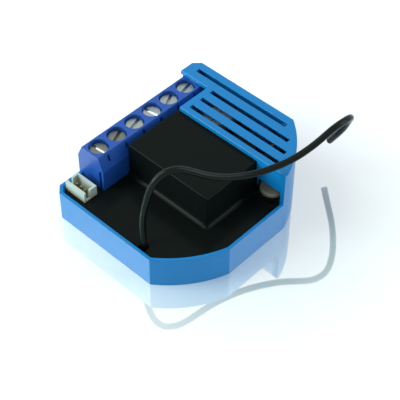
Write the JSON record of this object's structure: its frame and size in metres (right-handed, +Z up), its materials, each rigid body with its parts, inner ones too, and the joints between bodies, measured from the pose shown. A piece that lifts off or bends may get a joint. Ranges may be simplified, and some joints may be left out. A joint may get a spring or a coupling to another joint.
{
  "type": "smart relay module",
  "caption": "Flush relay module: blue tray with slotted hood, screw terminal block, black cover over the relay, plug socket, service button and wire aerial.",
  "frame": {"origin": "under the middle of the bounding box without the aerial, on the surface that the module lies on", "axes": "+X from the screw terminals to the round side, +Y from the low tray to the slotted hood, +Z up"},
  "size_m": [0.0404, 0.0501, 0.0247],
  "materials": {
    "housing_blue": "satin blue moulding",
    "cover_black": "fine black moulding",
    "base_blue": "satin blue moulding",
    "block_blue": "deep blue moulding",
    "screw_steel": "zinc plated",
    "cage_steel": "zinc plated",
    "contact_tin": "tinned brass",
    "socket_plastic": "pale moulding",
    "pin_brass": "plated",
    "wire_black": "smooth insulation",
    "board_green": "solder resist",
    "relay_case": "moulded case",
    "bobbin_plastic": "moulded",
    "copper_wire": "enamelled copper",
    "iron": "plated iron",
    "spring_bronze": "bronze leaf",
    "button_grey": "warm grey cap",
    "switch_black": "moulded",
    "can_aluminium": "bare can",
    "sleeve_dark": "shrunk sleeve",
    "ferrite": "sintered",
    "varistor_blue": "dipped coating",
    "resistor_coat": "baked coating",
    "chip_black": "moulded package",
    "crystal_can": "metal lid"
  },
  "bodies": {
    "case": {"housing": "housing_blue", "base_plate": "base_blue", "inner_cover": "cover_black", "main_board": "board_green", "terminal_block": "block_blue", "terminal_contacts": "contact_tin", "connector_header": "socket_plastic", "connector_pins": "pin_brass", "aerial": "wire_black", "relay_base": "relay_case", "relay_cover": "relay_case", "relay_bobbin": "bobbin_plastic", "relay_coil": "copper_wire", "relay_core": "iron", "relay_yoke": "iron", "relay_fixed_contact": "spring_bronze", "relay_coil_pins": "contact_tin", "tact_switch": "switch_black", "main_capacitor": "can_aluminium", "capacitor_sleeve": "sleeve_dark", "small_capacitor": "sleeve_dark", "inductor": "ferrite", "varistor": "varistor_blue", "fuse_resistor": "resistor_coat", "controller_chip": "chip_black", "crystal": "crystal_can", "small_parts": "chip_black", "rectifier": "chip_black"},
    "screw_1": {"terminal_screw_1": "screw_steel"},
    "screw_2": {"terminal_screw_2": "screw_steel"},
    "screw_3": {"terminal_screw_3": "screw_steel"},
    "screw_4": {"terminal_screw_4": "screw_steel"},
    "screw_5": {"terminal_screw_5": "screw_steel"},
    "screw_6": {"terminal_screw_6": "screw_steel"},
    "cage_1": {"clamp_cage_1": "cage_steel"},
    "cage_2": {"clamp_cage_2": "cage_steel"},
    "cage_3": {"clamp_cage_3": "cage_steel"},
    "cage_4": {"clamp_cage_4": "cage_steel"},
    "cage_5": {"clamp_cage_5": "cage_steel"},
    "cage_6": {"clamp_cage_6": "cage_steel"},
    "armature": {"relay_armature": "iron", "relay_contact_spring": "spring_bronze"},
    "button": {"service_button": "button_grey"}
  },
  "joints": [
    {"name": "screw_turn_1", "type": "hinge", "parent": "case", "child": "screw_1", "pos_m": [-0.01474, -0.0111, 0.0139], "axis": [0, 0, -1], "range_deg": [0, 1800]},
    {"name": "cage_rise_1", "type": "slide", "parent": "case", "child": "cage_1", "axis": [0, 0, 1], "range_m": [0, 0.0025]},
    {"name": "screw_turn_2", "type": "hinge", "parent": "case", "child": "screw_2", "pos_m": [-0.01474, -0.0061, 0.0139], "axis": [0, 0, -1], "range_deg": [0, 1800]},
    {"name": "cage_rise_2", "type": "slide", "parent": "case", "child": "cage_2", "axis": [0, 0, 1], "range_m": [0, 0.0025]},
    {"name": "screw_turn_3", "type": "hinge", "parent": "case", "child": "screw_3", "pos_m": [-0.01474, -0.0011, 0.0139], "axis": [0, 0, -1], "range_deg": [0, 1800]},
    {"name": "cage_rise_3", "type": "slide", "parent": "case", "child": "cage_3", "axis": [0, 0, 1], "range_m": [0, 0.0025]},
    {"name": "screw_turn_4", "type": "hinge", "parent": "case", "child": "screw_4", "pos_m": [-0.01474, 0.0039, 0.0139], "axis": [0, 0, -1], "range_deg": [0, 1800]},
    {"name": "cage_rise_4", "type": "slide", "parent": "case", "child": "cage_4", "axis": [0, 0, 1], "range_m": [0, 0.0025]},
    {"name": "screw_turn_5", "type": "hinge", "parent": "case", "child": "screw_5", "pos_m": [-0.01474, 0.0089, 0.0139], "axis": [0, 0, -1], "range_deg": [0, 1800]},
    {"name": "cage_rise_5", "type": "slide", "parent": "case", "child": "cage_5", "axis": [0, 0, 1], "range_m": [0, 0.0025]},
    {"name": "screw_turn_6", "type": "hinge", "parent": "case", "child": "screw_6", "pos_m": [-0.01474, 0.0139, 0.0139], "axis": [0, 0, -1], "range_deg": [0, 1800]},
    {"name": "cage_rise_6", "type": "slide", "parent": "case", "child": "cage_6", "axis": [0, 0, 1], "range_m": [0, 0.0025]},
    {"name": "armature_pull", "type": "hinge", "parent": "case", "child": "armature", "pos_m": [0.0062, -0.00199, 0.01245], "axis": [0, 1, 0], "range_deg": [0, 5], "stiffness_Nm_per_rad": 0.005, "springref_deg": -5.73},
    {"name": "button_press", "type": "slide", "parent": "case", "child": "button", "axis": [0, 0, -1], "range_m": [0, 0.00025], "stiffness_N_per_m": 2000, "springref_m": -0.0001}
  ],
  "couplings": [
    {"joint": "screw_turn_1", "follows": "cage_rise_1", "rad_per_m": 12566},
    {"joint": "screw_turn_2", "follows": "cage_rise_2", "rad_per_m": 12566},
    {"joint": "screw_turn_3", "follows": "cage_rise_3", "rad_per_m": 12566},
    {"joint": "screw_turn_4", "follows": "cage_rise_4", "rad_per_m": 12566},
    {"joint": "screw_turn_5", "follows": "cage_rise_5", "rad_per_m": 12566},
    {"joint": "screw_turn_6", "follows": "cage_rise_6", "rad_per_m": 12566}
  ]
}
